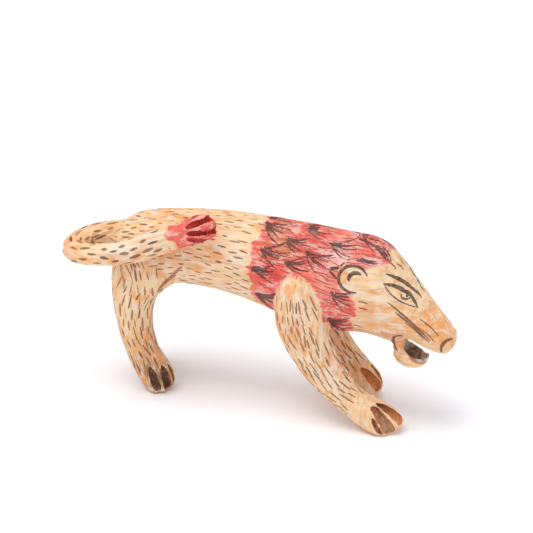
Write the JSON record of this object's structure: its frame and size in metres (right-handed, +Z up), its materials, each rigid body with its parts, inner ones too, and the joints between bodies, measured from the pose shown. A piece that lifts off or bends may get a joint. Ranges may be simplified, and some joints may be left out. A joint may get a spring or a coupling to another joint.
{
  "type": "carved wooden animal figure",
  "caption": "Carved and painted wooden folk-art beast standing on all fours, with a painted mane, a lowered head and open jaw, and a tail curled back along its flank.",
  "frame": {"origin": "middle of the figure's outline box, on the floor under its feet", "axes": "+X toward the head, +Y toward the figure's left side, +Z up"},
  "size_m": [0.2176, 0.0608, 0.1137],
  "materials": {
    "painted_wood": "carved light wood under thin matt paint: tan and orange wash, coral red mane, dark brown brush strokes",
    "painted_jaw": "the same wood and wash, with a brown wash inside the mouth",
    "peg_wood": "bare turned wood, hidden in the joints"
  },
  "bodies": {
    "root": {"body": "painted_wood", "leg_front_right": "painted_wood", "leg_front_left": "painted_wood", "leg_hind_right": "painted_wood", "leg_hind_left": "painted_wood", "tail": "painted_wood", "lower_jaw": "painted_jaw", "peg_front_right": "peg_wood", "peg_front_left": "peg_wood", "peg_hind_right": "peg_wood", "peg_hind_left": "peg_wood", "peg_tail": "peg_wood", "peg_jaw": "peg_wood"}
  },
  "joints": []
}
